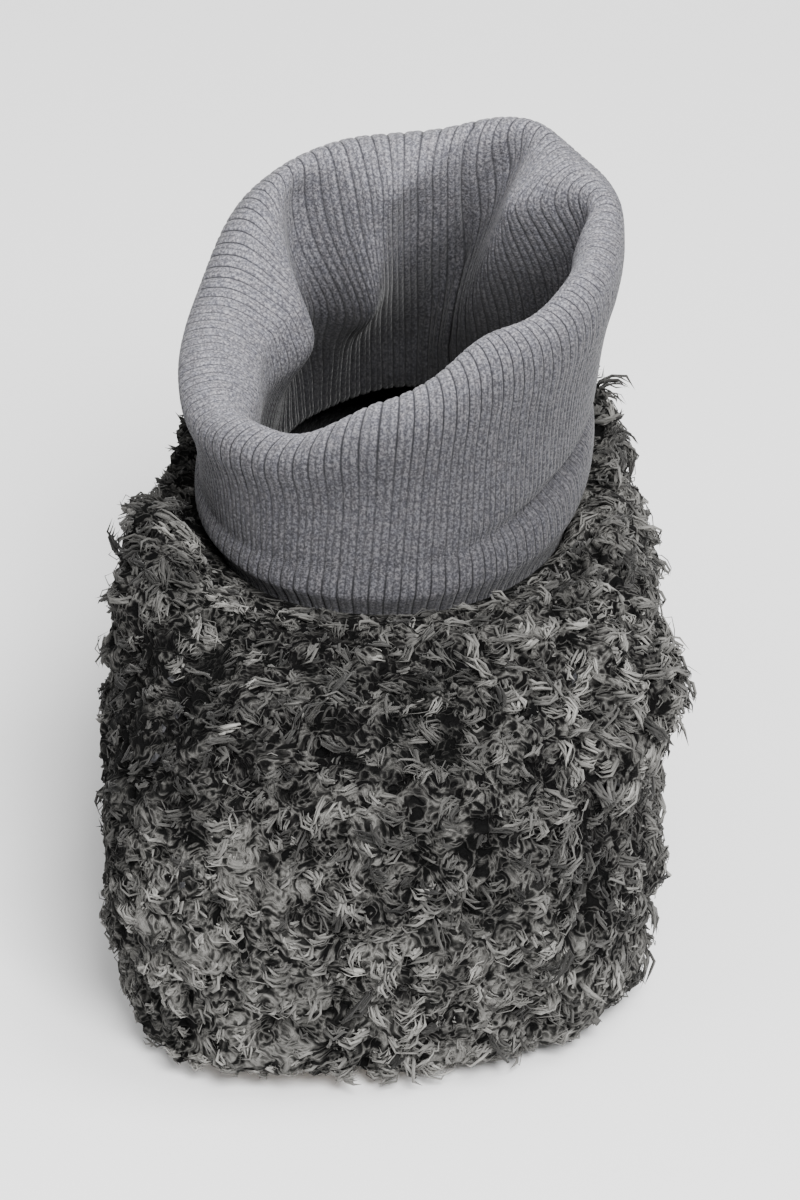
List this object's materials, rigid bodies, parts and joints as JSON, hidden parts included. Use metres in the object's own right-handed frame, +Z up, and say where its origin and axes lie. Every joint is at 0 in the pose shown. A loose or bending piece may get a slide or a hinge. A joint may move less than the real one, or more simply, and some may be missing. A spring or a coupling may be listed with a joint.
{
  "type": "slipper",
  "caption": "Baby's fleece slipper: hollow curly fleece upper, turned rib-knit cuff at the ankle, inner sole and flexible rubber sole with a wave tread.",
  "frame": {"origin": "middle of the box round the slipper, on the floor under the sole", "axes": "+Z up from the sole, +Y from the toe to the heel, +X to the outer side of the left foot"},
  "size_m": [0.069, 0.126, 0.083],
  "materials": {
    "curly_fleece": "black and grey mottled curly pile",
    "rib_knit": "grey melange rib knit",
    "insole_cloth": "short brushed nap",
    "sole_rubber": "matt warm grey"
  },
  "bodies": {
    "root": {"fleece_upper": "curly_fleece", "rib_cuff": "rib_knit", "insole": "insole_cloth", "outsole": "sole_rubber"}
  },
  "joints": []
}
